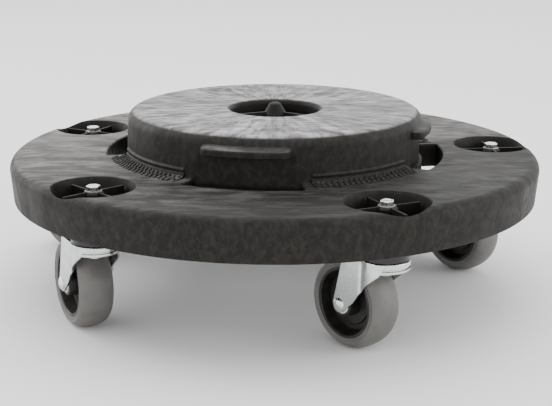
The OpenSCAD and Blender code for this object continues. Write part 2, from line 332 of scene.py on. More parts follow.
recess_section = [(DRUM_R - RECESS, RECESS_LOW), (DRUM_R + RECESS, RECESS_LOW),
                  (DRUM_R + RECESS, RECESS_HIGH), (DRUM_R - RECESS, RECESS_HIGH)]
recess_half = SLOT_HALF - 0.6
recess_parts = []
for quarter in LUG_SLOTS:
    part = sector(recess_section, quarter, recess_half)
    for vert in part.verts:
        if vert.co.xy.length < DRUM_R:
            past = abs(off_middle(vert.co, quarter)) - (recess_half - RECESS_RUN_OUT)
            run_out = max(0.0, past / RECESS_RUN_OUT)
            reach = DRUM_R - RECESS + (RECESS + 0.3) * run_out ** 1.5
            vert.co.xy = vert.co.xy.normalized() * reach
    recess_parts.append(part)
recesses = together(recess_parts)
liner = spun([(DRUM_R - 7, 121.4), (DRUM_R - 2, 121.4), (DRUM_R - 2, 150.5), (DRUM_R - 7, 150.5)])
print(len(recess_parts), "recesses ready")

# %% Lugs and ramps
LUG_HALF = 16.5
LUG_TIP = 137.7
LUG_RUN_OUT = 3.2
RAMP_HALF = 21.4
RAMP_FOOT = SLOT_R - 1.6

lug_section = ([(DRUM_R - 3.5, 147.5)] + arc((LUG_TIP - 1.0, 148.5), 1.0, 270, 360, 3)
               + arc((LUG_TIP - 1.8, 151.7), 1.8, 0, 84, 4)
               + [(133.6, 153.8), (131.6, 154.2), (130.2, 155.2), (128.4, 156.6), (DRUM_R - 3.5, 156.6)])
ramp_section = [(DRUM_R - 3, DECK_TOP - 2), (DRUM_R - 3, 129.5), (131.4, 129.5), (132.1, 128.9),
                (132.5, 127.6), (134.6, 126.8), (138.0, 126.3), (142.0, 126.0), (145.8, 125.8),
                (RAMP_FOOT, DECK_TOP - 0.1), (RAMP_FOOT, DECK_TOP - 2)]
lip_section = [(DRUM_R - 3, 130.9), (130.9, 130.9), (131.6, 131.3), (131.8, 132.1), (131.3, 133.1),
               (130.1, 133.9), (DRUM_R - 3, 134.1)]
lugs = []
for quarter in LUG_SLOTS:
    lug = sector(lug_section, quarter, LUG_HALF, 56)
    for vert in lug.verts:
        past = abs(off_middle(vert.co, quarter)) - (LUG_HALF - LUG_RUN_OUT)
        near_end = min(max(0.0, past / LUG_RUN_OUT), 1.0)
        proud = vert.co.xy.length - (DRUM_R - 2)
        if proud > 0:
            shrunk = proud * math.sqrt(1 - (0.97 * near_end) ** 2)
            vert.co.xy = vert.co.xy.normalized() * (DRUM_R - 2 + shrunk)
    lugs.append(lug)
ramps = [sector(ramp_section, q + 45, RAMP_HALF) for q in QUARTERS]
lips = [sector(lip_section, q + 45, RAMP_HALF - 0.2) for q in QUARTERS]
print(len(lugs), "lugs and", len(ramps), "ramps ready")

# %% [markdown]
# ### Caster pockets
# Each caster's bolt sits in a round pocket. The cutter is spun with the pocket's own soft rim, a flared
# mouth and a straight well. The cup around it is pressed in where it would come through the skirt. Inside,
# a boss carries the bolt, and two thin ribs cross it.

# %% Pockets
BOLT_CIRCLE_R = 198.2
FIRST_BOLT_AT = 7.55
MOUNT_Z = 90.4
WELL_R = 28.5
POCKET_R = 33.6
BOSS_TOP = 120.7
BORE_R = 3.45
RIB_T = 2.2
CUP_LIMIT_R = DECK_R - 2.2
bolt_turns = [turned(FIRST_BOLT_AT + 72 * (i - 1), (BOLT_CIRCLE_R, 0, 0)) for i in CASTERS]

pocket_section = ([(0, MOUNT_Z + 4), (WELL_R - 1.5, MOUNT_Z + 4), (WELL_R, MOUNT_Z + 5.5)]
                  + [(WELL_R + 0.3, 113.5)]
                  + arc((POCKET_R + 1.6, DECK_TOP - 1.6), 1.6, 180, 95, 5)
                  + [(POCKET_R + 1.9, DECK_TOP + 6), (0, DECK_TOP + 6)])
pocket_holes = copied(spun(pocket_section, 72, closed=False), bolt_turns)
cup_section = [(0, MOUNT_Z), (WELL_R + 1.6, MOUNT_Z), (WELL_R + 1.6, 110), (POCKET_R + 2.2, 114.5),
               (POCKET_R + 2.2, 122), (0, 122)]
cups = copied(spun(cup_section, 72, closed=False), bolt_turns)
for vert in cups.verts:
    reach = vert.co.xy.length
    if reach > CUP_LIMIT_R:
        vert.co.xy = vert.co.xy * (CUP_LIMIT_R / reach)
boss_section = [(0, MOUNT_Z + 3), (9.4, MOUNT_Z + 3), (8.6, BOSS_TOP - 0.8), (7.8, BOSS_TOP)]
boss_section.append((0, BOSS_TOP))
bosses = copied(spun(boss_section, 40, closed=False), bolt_turns)


def crossing_rib(turn):
    """A thin rib across every pocket."""
    rib = box((-WELL_R - 1, -RIB_T / 2, MOUNT_Z + 3), (WELL_R + 1, RIB_T / 2, 121.8))
    rounded(rib, [e for e in rib.edges if min(v.co.z for v in e.verts) > 121], 0.6, 2)
    return copied(rib, [m @ turned(turn) for m in bolt_turns])


bore_section = [(0, 85), (BORE_R, 85), (BORE_R, 130), (0, 130)]
bolt_bores = copied(spun(bore_section, 32, closed=False), bolt_turns)
print(len(bolt_turns), "pockets ready")

# %% [markdown]
# ### The hole, its post and the ribs underneath
# The drum is open in the middle. Three webs carry a pointed post there. Turned over, the moulding shows
# ribs that keep it flat, so the underside gets its own ring, spokes and cups.

# %% Post and ribs
WEB_TOP = DRUM_TOP - 3
WEB_BOTTOM = DRUM_TOP - COLLAR
WEB_ANGLES = (85, 205, 325)
RIB_LOW = 106.2
RIB_TOP = 122
POST_R = 10.6
KNOB_R = 5.8
KNOB_H = 2.7
KNOB_BOTTOM = 165.6
knob_turns = [math.radians(a) for a in range(0, 91, 15)]
post = spun([(0, WEB_BOTTOM), (POST_R, WEB_BOTTOM), (POST_R, WEB_TOP - 2.4), (8.6, WEB_TOP + 0.4),
             (7.0, WEB_TOP + 3.2)]
            + [(KNOB_R * math.cos(t), KNOB_BOTTOM + KNOB_H * math.sin(t)) for t in knob_turns],
            48, closed=False)


def spokes(angles, inner, outer, low, high, thickness=2.6):
    """Straight ribs out from the middle, with a soft top edge."""
    spoke = box((inner, -thickness / 2, low), (outer, thickness / 2, high))
    rounded(spoke, [e for e in spoke.edges if min(v.co.z for v in e.verts) > high - 0.1
                    and abs(e.verts[0].co.x - e.verts[1].co.x) > 2], 0.5, 2)
    return copied(spoke, [turned(a) for a in angles])


webs = spokes(WEB_ANGLES, 8, HOLE_R + 2, WEB_BOTTOM + 0.3, WEB_TOP)
ledge = spun([(HOLE_R - 4.5, 150.4), (HOLE_R + 1, 150.4), (HOLE_R + 1, 152.2), (HOLE_R - 4, 152.2)], 96)
drum_spokes = spokes([14 + 45 * k for k in range(8)], HOLE_R + 2, DRUM_R - 5, 145.4, 160.4)
drum_ring = spun([(83, 145.6), (86, 145.6), (86, 160.2), (83, 160.2)], 160)
deck_ring = spun([(SLOT_R + 1.2, 106), (SLOT_R + 4.2, 106), (SLOT_R + 4.2, 122.2), (SLOT_R + 1.2, 122.2)])
bolt_angles = [FIRST_BOLT_AT + 72 * i for i in range(5)]
deck_spokes = spokes([at + a for at in bolt_angles for a in (24, 36, 48)], SLOT_R + 2.4,
                     DECK_R - WALL + 0.4, RIB_LOW, RIB_TOP)
cup_spokes = spokes(bolt_angles, SLOT_R + 2.4, BOLT_CIRCLE_R - WELL_R - 0.6, RIB_LOW, RIB_TOP)
print("post, webs and ribs ready")

# %% The whole moulding
carved(deck, [("UNION", slot_walls), ("UNION", liner), ("UNION", deck_ring), ("UNION", deck_spokes),
              ("UNION", cup_spokes), ("UNION", cups)]
       + [("UNION", shape) for shape in ramps + lips]
       + [("DIFFERENCE", slot_holes), ("DIFFERENCE", slot_rims), ("DIFFERENCE", recesses),
          ("DIFFERENCE", pocket_holes)]
       + [("UNION", shape) for shape in lugs]
       + [("UNION", drum_ring), ("UNION", drum_spokes), ("UNION", ledge), ("UNION", webs), ("UNION", post),
          ("UNION", bosses), ("UNION", crossing_rib(0)), ("UNION", crossing_rib(90)),
          ("DIFFERENCE", bolt_bores)])
shaded(deck)
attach(deck, "deck")
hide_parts("deck_moulding")
counted(deck)

# %% [markdown]
# ### Grip studs
# The ramps carry rows of small studs that stop a container from sliding. Each stud is a flattened ball
# with only a few dozen faces, because there are hundreds of them. Seeded differences in place and turn
# keep the rows from looking printed. They are a piece of their own, sunk a little into the ramp.

# %% Studs
STUD_ROWS = 4
STUD_PITCH = 5.0
STUD_FIRST_R = 134.6
STUD_ROW_STEP = 3.3
STUD_HEIGHTS = (126.8, 126.3, 126.0, 125.9)
STUD_HALF_SIZE = (2.7, 1.5, 1.3)
STUD_TURN = 38
jitter = random.Random(7)


def stud():
    """One flattened ball."""
    bm = bmesh.new()
    bmesh.ops.create_uvsphere(bm, u_segments=8, v_segments=5, radius=1.0)
    bmesh.ops.scale(bm, vec=STUD_HALF_SIZE, verts=bm.verts)
    return bm


stud_lean = Matrix.Rotation(math.radians(14), 4, "Y")
stud_turns = []
for middle in [q + 45 for q in QUARTERS]:
    for row in range(STUD_ROWS):
        radius = STUD_FIRST_R + STUD_ROW_STEP * row
        step = math.degrees(STUD_PITCH / radius)
        count = int((2 * RAMP_HALF - 1.5) / step)
        for k in range(count + 1):
            angle = middle + (k - count / 2 + (0.5 if row % 2 else 0.0)) * step
            if abs(angle - middle) > RAMP_HALF - 1:
                continue
            place = turned(angle, (radius + jitter.uniform(-0.4, 0.4), 0, STUD_HEIGHTS[row]))
            stud_turns.append(place @ turned(STUD_TURN + jitter.uniform(-14, 14)) @ stud_lean)
studs = to_object("ramp_studs", copied(stud(), stud_turns))
shaded(studs, 60)
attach(studs, "deck")
counted(studs)

# %% [markdown]
# ## Fasteners
# Five hex bolts hold the casters. A hex head starts as a circle of six sides, is extruded to its height,
# and gets the turned chamfer on its upper corners from a bevel.

# %% Mounting bolts
HEAD_AF = 10.2
HEAD_BOTTOM = BOSS_TOP + 1.4
HEAD_H = 4.2
SHANK_R = 3.175
SHANK_BOTTOM = 66.4


def extruded(bm, vec):
    """Thickens a flat face along a direction."""
    made = bmesh.ops.extrude_face_region(bm, geom=bm.faces[:])
    moved = [g for g in made["geom"] if isinstance(g, bmesh.types.BMVert)]
    bmesh.ops.translate(bm, vec=vec, verts=moved)


def hex_head(across_flats, low, height, chamfer):
    """A six-sided head with its upper corners chamfered."""
    bm = bmesh.new()
    bmesh.ops.create_circle(bm, cap_ends=True, segments=6, radius=across_flats / 2 / math.cos(math.pi / 6))
    bmesh.ops.translate(bm, vec=(0, 0, low), verts=bm.verts)
    extruded(bm, (0, 0, height))
    bmesh.ops.recalc_face_normals(bm, faces=bm.faces)
    rounded(bm, [e for e in bm.edges if min(v.co.z for v in e.verts) > low + height / 2], chamfer, 3)
    return bm


head_top = HEAD_BOTTOM + HEAD_H
head_dish = spun([(0, head_top - 0.5), (3.2, head_top - 0.4), (3.7, head_top + 0.3), (0, head_top + 0.3)],
                 32, closed=False)
shank = spun([(0, SHANK_BOTTOM), (SHANK_R - 0.5, SHANK_BOTTOM), (SHANK_R, SHANK_BOTTOM + 0.5),
              (SHANK_R, HEAD_BOTTOM + 1), (0, HEAD_BOTTOM + 1)], 32, closed=False)
bolts = to_object("hex_bolts", copied(hex_head(HEAD_AF, HEAD_BOTTOM, HEAD_H, 0.7), bolt_turns))
carved(bolts, [("UNION", copied(shank, bolt_turns)), ("DIFFERENCE", copied(head_dish, bolt_turns))])
shaded(bolts)
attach(bolts, "deck")
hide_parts("mounting_bolts")
counted(bolts)

# %% [markdown]
# ## Casters
# All five casters are the same part, turned to different headings. Each shape is made once, lying along
# the caster's own axes: X runs from the swivel axis to the axle, Y is the wheel's axis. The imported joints
# say where each swivel and each axle is, so the copies land exactly on the moving bodies.


# %% Places of the casters
def caster_turn(i):
    """From the caster's own axes, on the floor under its bolt, to the deck's axes."""
    swivel = Vector(joints[f"swivel_{i}"]["pos_m"])
    axle = Vector(joints[f"roll_{i}"]["pos_m"])
    heading = math.atan2(axle.y - swivel.y, axle.x - swivel.x)
    return Matrix.Translation((swivel.x, swivel.y, 0)) @ Matrix.Rotation(heading, 4, "Z")


first_swivel = Vector(joints["swivel_1"]["pos_m"])
first_axle = Vector(joints["roll_1"]["pos_m"])
TRAIL = (first_axle.xy - first_swivel.xy).length / MM
AXLE_Z = first_axle.z / MM
lay_down = Matrix.Rotation(math.radians(-90), 4, "X")
laid_on_axle = Matrix.Translation((TRAIL * MM, 0, AXLE_Z * MM)) @ lay_down
print("trail", round(TRAIL, 2), "mm, axle", round(AXLE_Z, 2), "mm up")


def placed(shape, name, turn, body, node):
    """A copy of a finished shape at one caster, riding on that caster's body."""
    piece = bpy.data.objects.new(name, shape.data.copy())
    bpy.context.scene.collection.objects.link(piece)
    piece.data.transform(turn)
    even = piece.modifiers.new("even_normals", "WEIGHTED_NORMAL")
    even.keep_sharp = True
    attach(piece, body)
    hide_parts(node)
    return piece


# %% Fork
FORK_HALF = 18.7
SHEET = 2.2
HEAD_R = 19.5
CROWN_LOW = 78.0
CROWN_TOP = 80.4
APRON_LOW = 71.8
FLAT_FROM = 11.0
ROUND_TO = 8.0
LEG_TIP_R = 6.8
BEND_LINES = (-8, -5, -2, 1, 4, 6, 8, 8.7, 9.5, 10.3, 11)


def leg_reach(x):
    """How far out the leg's sheet stands: flat beside the wheel, round about the swivel head."""
    round_y = math.sqrt(HEAD_R ** 2 - min(x, ROUND_TO) ** 2)
    t = min(max((x - ROUND_TO) / (FLAT_FROM - ROUND_TO), 0), 1)
    return round_y + (FORK_HALF - round_y) * t * t * (3 - 2 * t)


def leg(side):
    """One leg, cut into strips so that it can bend from the wheel's side to the round head."""
    outline = ([(-11.5, CROWN_LOW + 0.5), (-11.5, 73.4), (-8.5, 69.4), (-3.0, 64.6), (4.5, 58.6)]
               + [(11.0, 50.6), (16.2, 43.2)]
               + arc((TRAIL, AXLE_Z), LEG_TIP_R, 208, 372, 12)
               + [(30.2, 72.5), (29.2, 78.4), (27.6, CROWN_TOP - 0.4), (24.0, CROWN_TOP - 0.2)]
               + [(-6.0, CROWN_TOP - 0.2)])
    bm = bmesh.new()
    bm.faces.new([bm.verts.new((x, 0, z)) for x, z in outline])
    for x in BEND_LINES:
        bmesh.ops.bisect_plane(bm, geom=bm.faces[:] + bm.edges[:] + bm.verts[:], plane_co=(x, 0, 0),
                               plane_no=(1, 0, 0))
    extruded(bm, (0, -SHEET, 0))
    bmesh.ops.recalc_face_normals(bm, faces=bm.faces)
    rounded(bm, [e for e in bm.edges if e.calc_face_angle(0) > math.radians(60)], 0.55, 3)
    for vert in bm.verts:
        vert.co.y = side * (vert.co.y + leg_reach(vert.co.x))
    bmesh.ops.recalc_face_normals(bm, faces=bm.faces)
    return bm


crown = spun([(5.6, CROWN_LOW), (18.0, CROWN_LOW)] + arc((HEAD_R - 1.3, CROWN_TOP - 1.3), 1.3, 0, 90, 4)
             + [(5.6, CROWN_TOP)], 96)
bridge = box((0, -FORK_HALF, CROWN_LOW), (28.6, FORK_HALF, CROWN_TOP))
rounded(bridge, [e for e in bridge.edges if min(v.co.z for v in e.verts) > CROWN_TOP - 0.1], 1.2, 4)
apron_section = ([(HEAD_R - 2.4, CROWN_TOP - 0.3), (HEAD_R - 2.4, APRON_LOW + 0.5)]
                 + [(HEAD_R - 1.6, APRON_LOW)]
                 + arc((HEAD_R - 1.3, APRON_LOW + 1.3), 1.3, 280, 380, 4)
                 + [(HEAD_R - 0.1, APRON_LOW + 2.4)]
                 + [(HEAD_R - 0.9, APRON_LOW + 3.2), (HEAD_R - 0.9, APRON_LOW + 3.7)]
                 + [(HEAD_R, APRON_LOW + 4.4)]
                 + arc((HEAD_R - 1.3, CROWN_TOP - 1.5), 1.3, 0, 80, 4))
apron = sector(apron_section, 180, 92, 48)
fork_shape = to_object("fork_shape", crown)
axle_bore = spun([(0, -25), (4, -25), (4, 25), (0, 25)], 40, closed=False)
bmesh.ops.transform(axle_bore, matrix=Matrix.Translation((TRAIL, 0, AXLE_Z)) @ lay_down,
                    verts=axle_bore.verts)
carved(fork_shape, [("UNION", bridge), ("UNION", apron), ("UNION", leg(1)), ("UNION", leg(-1)),
                    ("DIFFERENCE", axle_bore)])
shaded(fork_shape, 38)
counted(fork_shape)

# %% [markdown]
# ### Wheel
# The tyre is a round-shouldered ring of grey rubber moulded onto a black core. Both are spun sections. The
# core is dished on each side, with a step halfway, as the mould leaves it.

# %% Tyre and core
WHEEL_R = 38.2
RIM_R = 28.8
TYRE_HALF = 15.0
HUB_HALF = 15.6
side_r = 31.4
tread_turns = [math.radians(a) for a in range(-82, 83, 7)]
tyre_section = ([(RIM_R, -13.3), (29.4, -13.8), (30.3, -13.8), (30.7, -13.4)]
                + [(side_r + (WHEEL_R - side_r) * math.cos(t) ** 0.9,
                    TYRE_HALF * math.sin(t) * (1 - 0.03 * abs(math.sin(t)))) for t in tread_turns]
                + [(30.7, 13.4), (30.3, 13.8), (29.4, 13.8), (RIM_R, 13.3)])
core_half = [(8.0, HUB_HALF), (9.8, HUB_HALF), (10.5, HUB_HALF - 0.7), (11.4, 5.2), (18.6, 4.8),
             (19.4, 3.2), (23.6, 3.0), (24.6, 4.0), (25.9, 12.7), (26.7, 13.5), (28.0, 13.5),
             (RIM_R, 13.0)]
core_section = core_half + [(r, -z) for r, z in reversed(core_half)]
tyre_shape = to_object("tyre_shape", spun(tyre_section, 128))
core_shape = to_object("core_shape", spun(core_section, 128))
DOME_R = 5.4
DOME_H = 2.1
DOME_BOTTOM = 19.1
dome_turns = [math.radians(a) for a in (15, 30, 45, 60, 75)]
axle_section = ([(0, -24), (3.4, -24), (4, -23.4), (4, 18.6), (5.2, 18.7), (DOME_R, DOME_BOTTOM)]
                + [(DOME_R * math.cos(t), DOME_BOTTOM + DOME_H * math.sin(t)) for t in dome_turns]
                + [(0, 21.25)])
axle_shape = to_object("axle_shape", spun(axle_section, 48, closed=False))
for shape in (tyre_shape, core_shape, axle_shape):
    shaded(shape, 40)
    counted(shape)

# %% Five of each
forks, tyres, cores, axles = [], [], [], []
for i in CASTERS:
    place = caster_turn(i)
    on_axle = place @ laid_on_axle
    caster, wheel = f"caster_{i}", f"wheel_{i}"
    forks.append(placed(fork_shape, f"pressed_fork_{i}", place, caster, f"fork_{i}"))
    axles.append(placed(axle_shape, f"domed_axle_{i}", on_axle, caster, f"axle_bolt_{i}"))
    tyres.append(placed(tyre_shape, f"round_tyre_{i}", on_axle, wheel, f"tyre_{i}"))
    cores.append(placed(core_shape, f"dished_core_{i}", on_axle, wheel, f"wheel_core_{i}"))
for shape in (fork_shape, tyre_shape, core_shape, axle_shape):
    bpy.data.objects.remove(shape)
print("five casters placed")

# %% [markdown]
# ## Finishes
# Every finish is a node tree that reads Object coordinates, so that it stays on the part in any view.
# Three effects are shared by several finishes and are built once, as groups: flow marks from the
# moulding, fine grain for the bump, and rubbed marks that change the gloss.


# %% Node helpers
def group(name, inputs, outputs):
    """An empty shader group with its named sockets. Returns the tree and its input and output nodes."""
    tree = bpy.data.node_groups.new(name, "ShaderNodeTree")
    for label, kind, value in inputs:
        socket = tree.interface.new_socket(name=label, in_out="INPUT", socket_type=kind)
        if value is not None:
            socket.default_value = value
    for label, kind in outputs:
        tree.interface.new_socket(name=label, in_out="OUTPUT", socket_type=kind)
    return tree, tree.nodes.new("NodeGroupInput"), tree.nodes.new("NodeGroupOutput")


def add(tree, kind, settings=None, **inputs):
    """A node with its settings and inputs. An input is a value or the socket that feeds it."""
    node = tree.nodes.new(kind)
    for key, value in (settings or {}).items():
        setattr(node, key, value)
    for key, value in inputs.items():
        numbered = key[0] == "i" and key[1:].isdigit()
        socket = node.inputs[int(key[1:]) if numbered else key.replace("_", " ")]
        if isinstance(value, bpy.types.NodeSocket):
            tree.links.new(value, socket)
        else:
            socket.default_value = value
    return node


def math_node(tree, operation, *values):
    """One sum, and the socket with its result."""
    numbered = {f"i{k}": value for k, value in enumerate(values)}
    return add(tree, "ShaderNodeMath", {"operation": operation}, **numbered).outputs[0]


def vector_math(tree, operation, *values, **named):
    """One sum with vectors."""
    numbered = {f"i{k}": value for k, value in enumerate(values)}
    return add(tree, "ShaderNodeVectorMath", {"operation": operation}, **numbered, **named)


def remap(tree, value, low, high, to_low=0.0, to_high=1.0, smooth=False):
    """Stretches a range of values to another range, cut off at its ends."""
    settings = {"interpolation_type": "SMOOTHSTEP" if smooth else "LINEAR", "clamp": True}
    return add(tree, "ShaderNodeMapRange", settings, Value=value, From_Min=low, From_Max=high,
               To_Min=to_low, To_Max=to_high).outputs["Result"]


def mixed(tree, factor, first, second):
    """A blend of two colours."""
    node = add(tree, "ShaderNodeMix", {"data_type": "RGBA"}, i0=factor, i6=first, i7=second)
    return node.outputs[2]


print("node helpers ready")

# %% Shared effects
flow, flow_in, flow_out = group(
    "flow_marks",
    [("Vector", "NodeSocketVector", None), ("Scale", "NodeSocketFloat", 10.0),
     ("Warp", "NodeSocketFloat", 0.1)],
    [("Streaks", "NodeSocketFloat"), ("Clouds", "NodeSocketFloat")])
flow_place = flow_in.outputs["Vector"]
sway = add(flow, "ShaderNodeTexNoise", Vector=flow_place, Scale=7.0, Detail=3.0, Roughness=0.5)
centred = vector_math(flow, "SUBTRACT", sway.outputs["Color"], (0.5, 0.5, 0.5))
pushed = vector_math(flow, "SCALE", centred.outputs[0], Scale=flow_in.outputs["Warp"])
bent = vector_math(flow, "ADD", flow_place, pushed.outputs[0])
fine = add(flow, "ShaderNodeTexNoise", Vector=bent.outputs[0], Scale=flow_in.outputs["Scale"],
           Detail=9.0, Roughness=0.66, Distortion=0.4)
broad = add(flow, "ShaderNodeTexNoise", Vector=bent.outputs[0], Scale=4.2, Detail=4.0, Roughness=0.55)
flow.links.new(remap(flow, fine.outputs["Fac"], 0.43, 0.62), flow_out.inputs["Streaks"])
flow.links.new(remap(flow, broad.outputs["Fac"], 0.34, 0.66, smooth=True), flow_out.inputs["Clouds"])

grain, grain_in, grain_out = group(
    "fine_grain",
    [("Vector", "NodeSocketVector", None), ("Scale", "NodeSocketFloat", 900.0)],
    [("Height", "NodeSocketFloat")])
grain_place = grain_in.outputs["Vector"]
pores = add(grain, "ShaderNodeTexNoise", Vector=grain_place, Scale=grain_in.outputs["Scale"], Detail=3.0)
waves = add(grain, "ShaderNodeTexNoise", Vector=grain_place, Scale=60.0, Detail=2.0)
height = math_node(grain, "MULTIPLY_ADD", waves.outputs["Fac"], 1.6, pores.outputs["Fac"])
grain.links.new(height, grain_out.inputs["Height"])

rub, rub_in, rub_out = group(
    "rubbed_marks",
    [("Vector", "NodeSocketVector", None), ("Scale", "NodeSocketFloat", 120.0),
     ("Low", "NodeSocketFloat", 0.3), ("High", "NodeSocketFloat", 0.5)],
    [("Roughness", "NodeSocketFloat"), ("Mask", "NodeSocketFloat")])
smears = add(rub, "ShaderNodeTexNoise", Vector=rub_in.outputs["Vector"], Scale=rub_in.outputs["Scale"],
             Detail=6.0, Roughness=0.6, Distortion=0.8)
mask = remap(rub, smears.outputs["Fac"], 0.35, 0.68)
rub.links.new(mask, rub_out.inputs["Mask"])
rubbed = add(rub, "ShaderNodeMapRange", Value=mask, To_Min=rub_in.outputs["Low"],
             To_Max=rub_in.outputs["High"])
rub.links.new(rubbed.outputs["Result"], rub_out.inputs["Roughness"])
print("shared effects:", [tree.name for tree in (flow, grain, rub)])


# %% Start of a finish
def finish_base(name, **shader_values):
    """A material with its Principled shader and Object coordinates."""
    material = bpy.data.materials.new(name)
    material.use_nodes = True
    tree = material.node_tree
    shader = tree.nodes["Principled BSDF"]
    for key, value in shader_values.items():
        shader.inputs[key.replace("_", " ")].default_value = value
    place = tree.nodes.new("ShaderNodeTexCoord")
    return material, tree, shader, place


def use_group(tree, shared, **inputs):
    """One of the shared groups inside a finish."""
    return add(tree, "ShaderNodeGroup", {"node_tree": shared}, **inputs)


def bumped(tree, shader, height, strength, distance):
    """Feeds a height into the shader's normal."""
    bump = add(tree, "ShaderNodeBump", Height=height, Strength=strength, Distance=distance)
    tree.links.new(bump.outputs["Normal"], shader.inputs["Normal"])


def repainted(piece, material):
    """Gives a piece one material in place of what it had."""
    piece.data.materials.clear()
    piece.data.materials.append(material)


print("finish helpers ready")

# %% [markdown]
# ### Recycled black plastic
# The resin is a mix of regrinds, so grey streaks follow the way it flowed in the mould: out from the
# middle on top of the drum, across the deck, and down the walls. The tree works out the radius and the
# direction from the deck's axis, makes one flow pattern for each zone, and blends them by the surface's
# own normal and height. A painted sheen makes the deck's top lighter towards the rear left, and it stays
# darker towards the front right. The insides of the pockets and slots, the underside and the centre hole
# are painted near black as shade.

# %% Deck plastic
PAINTED_SHADE_BLACK = (0.004, 0.0035, 0.003, 1)
DARK_DECK = ((0.0045, 0.0042, 0.0037, 1), (0.022, 0.0205, 0.018, 1))
SHEEN_PAINTED_DECK = ((0.060, 0.056, 0.054, 1), (0.200, 0.188, 0.183, 1))
DRUM_TONES = ((0.05, 0.048, 0.049, 1), (0.50, 0.48, 0.49, 1))
DRUM_SHADE = (0.080, 0.077, 0.079, 1)
WALL_TONES = ((0.0080, 0.0073, 0.0064, 1), (0.0185, 0.0163, 0.0138, 1))
DRUM_TOP_M = DRUM_TOP * MM
plastic, tree, shader, place = finish_base("recycled_plastic", IOR=1.45, Specular_IOR_Level=0.18)
at_object = place.outputs["Object"]
where = add(tree, "ShaderNodeSeparateXYZ", Vector=at_object)
facing = add(tree, "ShaderNodeSeparateXYZ", Vector=place.outputs["Normal"])
flat_place = add(tree, "ShaderNodeCombineXYZ", X=where.outputs["X"], Y=where.outputs["Y"])
radius = vector_math(tree, "LENGTH", flat_place.outputs[0]).outputs["Value"]
outward = vector_math(tree, "NORMALIZE", flat_place.outputs[0])
out_dir = add(tree, "ShaderNodeSeparateXYZ", Vector=outward.outputs[0])
turn_x = math_node(tree, "MULTIPLY", out_dir.outputs["X"], 0.42)
turn_y = math_node(tree, "MULTIPLY", out_dir.outputs["Y"], 0.42)
radial_place = add(tree, "ShaderNodeCombineXYZ", X=turn_x, Y=turn_y, Z=radius)
across_place = add(tree, "ShaderNodeMapping", Vector=at_object, Scale=(0.7, 2.3, 1.0),
                   Rotation=(0, 0, 0.2))
down_place = add(tree, "ShaderNodeMapping", Vector=at_object, Scale=(1.5, 1.5, 0.9))
on_drum = use_group(tree, flow, Vector=radial_place.outputs[0], Scale=34.0, Warp=0.08)
on_deck = use_group(tree, flow, Vector=across_place.outputs[0], Scale=52.0, Warp=0.12)
on_wall = use_group(tree, flow, Vector=down_place.outputs[0], Scale=150.0, Warp=0.05)
print("flow patterns for the drum, the deck and the walls ready")

# %% Deck plastic: colours of the zones
# Painted sheen: the deck's top is coloured lighter towards the rear left, in place of a lamp's sheen, and
# stays dark towards the front right.
sheen_rear_part = math_node(tree, "MULTIPLY", where.outputs["Y"], 0.6)
sheen_side = math_node(tree, "MULTIPLY_ADD", where.outputs["X"], -0.5, sheen_rear_part)
sheen_side = math_node(tree, "ADD", sheen_side, remap(tree, on_deck.outputs["Clouds"], 0, 1, -0.05, 0.05))
painted_sheen = remap(tree, sheen_side, -0.11, 0.12, smooth=True)
deck_dark = mixed(tree, on_deck.outputs["Streaks"], *DARK_DECK)
deck_with_sheen = mixed(tree, on_deck.outputs["Streaks"], *SHEEN_PAINTED_DECK)
deck_colour_and_sheen = mixed(tree, painted_sheen, deck_dark, deck_with_sheen)
across_part = math_node(tree, "MULTIPLY", on_deck.outputs["Streaks"], 0.45)
drum_streaks = math_node(tree, "MULTIPLY_ADD", on_drum.outputs["Streaks"], 0.55, across_part)
drum_colour = mixed(tree, drum_streaks, *DRUM_TONES)
drum_shade = math_node(tree, "MULTIPLY", on_drum.outputs["Clouds"], 0.45)
drum_colour = mixed(tree, drum_shade, drum_colour, DRUM_SHADE)
wall_colour = mixed(tree, on_wall.outputs["Streaks"], *WALL_TONES)
print("colours of the zones ready")

# %% Deck plastic: where each zone lies
is_up = remap(tree, facing.outputs["Z"], 0.72, 0.99, smooth=True)
is_high = remap(tree, where.outputs["Z"], DRUM_TOP_M - 0.0024, DRUM_TOP_M - 0.0004, smooth=True)
is_outer = remap(tree, radius, (HOLE_R + 1) * MM, (HOLE_R + 5) * MM, smooth=True)
is_drum_top = math_node(tree, "MULTIPLY", is_high, is_outer)
upper = mixed(tree, is_drum_top, deck_colour_and_sheen, drum_colour)
outside = mixed(tree, is_up, wall_colour, upper)
# Painted shade: below the deck top inside the skirt, and in the centre hole with its post, the plastic is
# coloured near black as shade.
below_deck = remap(tree, where.outputs["Z"], (DECK_TOP - 1.2) * MM, (DECK_TOP - 4) * MM, smooth=True)
inside_skirt = remap(tree, radius, (DECK_R - 3) * MM, (DECK_R - 4.5) * MM, smooth=True)
under_deck_shade = math_node(tree, "MULTIPLY", below_deck, inside_skirt)
hole_shade = math_node(tree, "SUBTRACT", 1.0, is_outer)
painted_shade = math_node(tree, "MULTIPLY", math_node(tree, "MAXIMUM", under_deck_shade, hole_shade), 0.8)
tree.links.new(mixed(tree, painted_shade, outside, PAINTED_SHADE_BLACK), shader.inputs["Base Color"])
gloss = use_group(tree, rub, Vector=across_place.outputs[0], Scale=30.0, Low=0.46, High=0.66)
tree.links.new(gloss.outputs["Roughness"], shader.inputs["Roughness"])
skin = use_group(tree, grain, Vector=at_object, Scale=700.0)
bumped(tree, shader, skin.outputs["Height"], 0.25, 0.0004)
for piece in (deck, studs):
    repainted(piece, plastic)
print("recycled plastic on", deck.name, "and", studs.name)

# %% [markdown]
# ### Metal, rubber and the small parts
# Zinc plate is a metal with a cool, slightly cloudy gloss. The tyre is matt grey rubber that picks up
# dust. The rest are plain moulded or turned parts, still with their own grain and gloss, since a single
# flat value looks like a toy.


